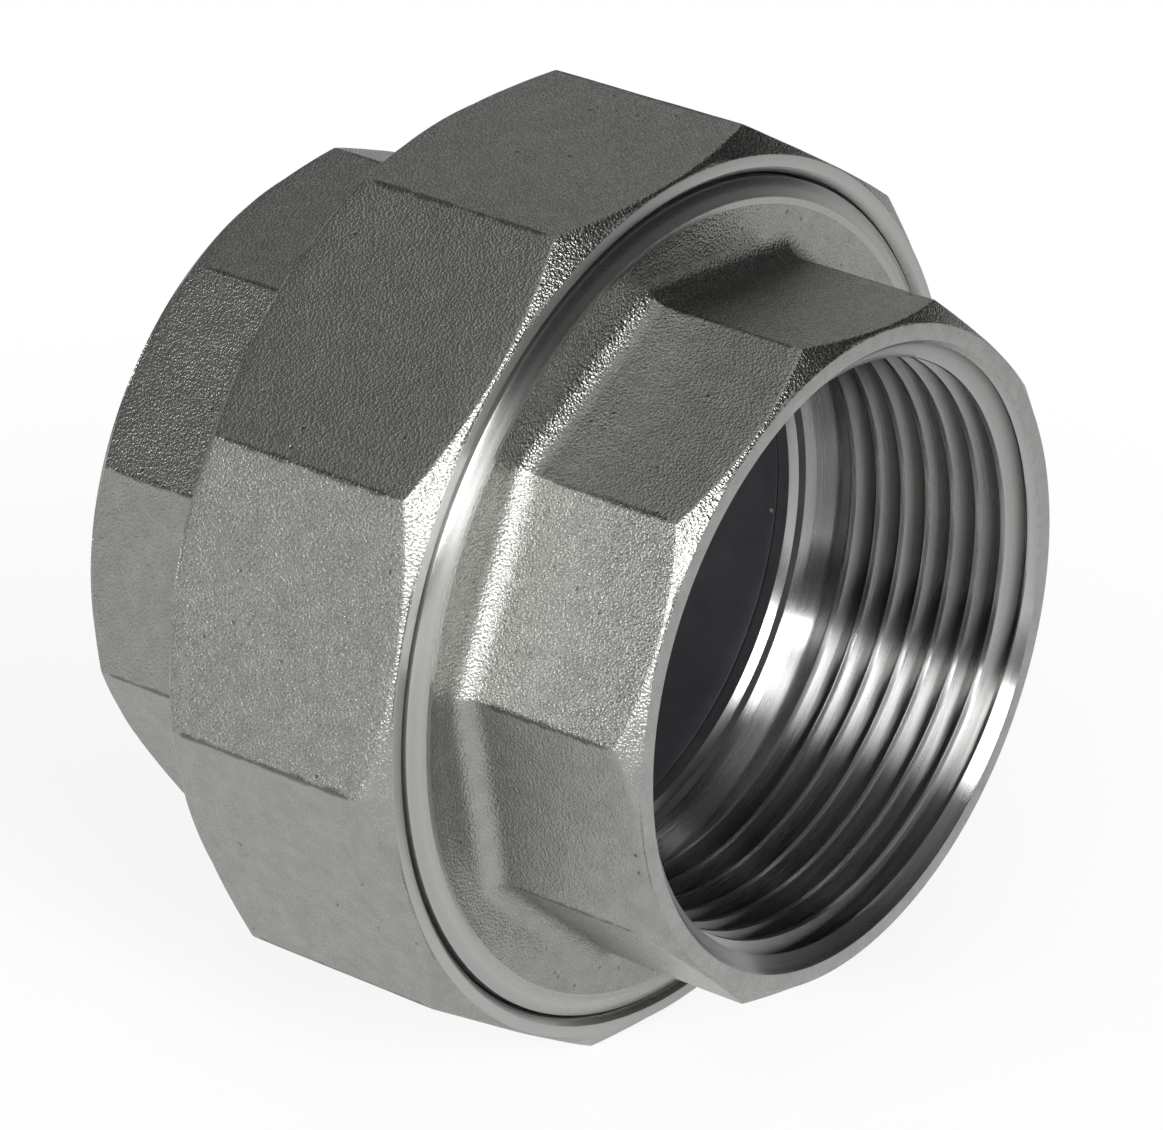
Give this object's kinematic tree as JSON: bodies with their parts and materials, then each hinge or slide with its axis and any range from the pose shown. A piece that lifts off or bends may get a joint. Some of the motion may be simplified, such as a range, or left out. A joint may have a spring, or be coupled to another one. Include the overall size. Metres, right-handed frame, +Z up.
{
  "type": "conical-seat pipe union",
  "caption": "Conical-seat pipe union: internally threaded ends with wrench flats, drawn together metal to metal by a chamfered union nut.",
  "frame": {"origin": "centre of the tightened union's bounding box, on the pipe axis midway between the two mouths", "axes": "+X along the pipe axis, out of the threaded end's mouth; +Z up, square to the nut flat that the union rests on; +Y completes a right-handed frame, through a corner of the nut"},
  "size_m": [0.052, 0.0726, 0.069],
  "materials": {
    "end_casting": "shot-blasted stainless casting with bright turned faces and threads",
    "nut_casting": "shot-blasted stainless casting with turned chamfers"
  },
  "bodies": {
    "threaded_end": {"threaded_end": "end_casting"},
    "tail_end": {"tail_end": "end_casting"},
    "union_nut": {"union_nut": "nut_casting"}
  },
  "joints": [
    {"name": "tail_draw", "type": "slide", "parent": "threaded_end", "child": "tail_end", "axis": [-1, 0, 0], "range_m": [0, 0.0101]},
    {"name": "nut_turn", "type": "hinge", "parent": "tail_end", "child": "union_nut", "pos_m": [0, 0, 0], "axis": [-1, 0, 0], "range_deg": [0, 1800]}
  ],
  "couplings": [
    {"joint": "tail_draw", "follows": "nut_turn", "m_per_rad": 0.00031831}
  ]
}
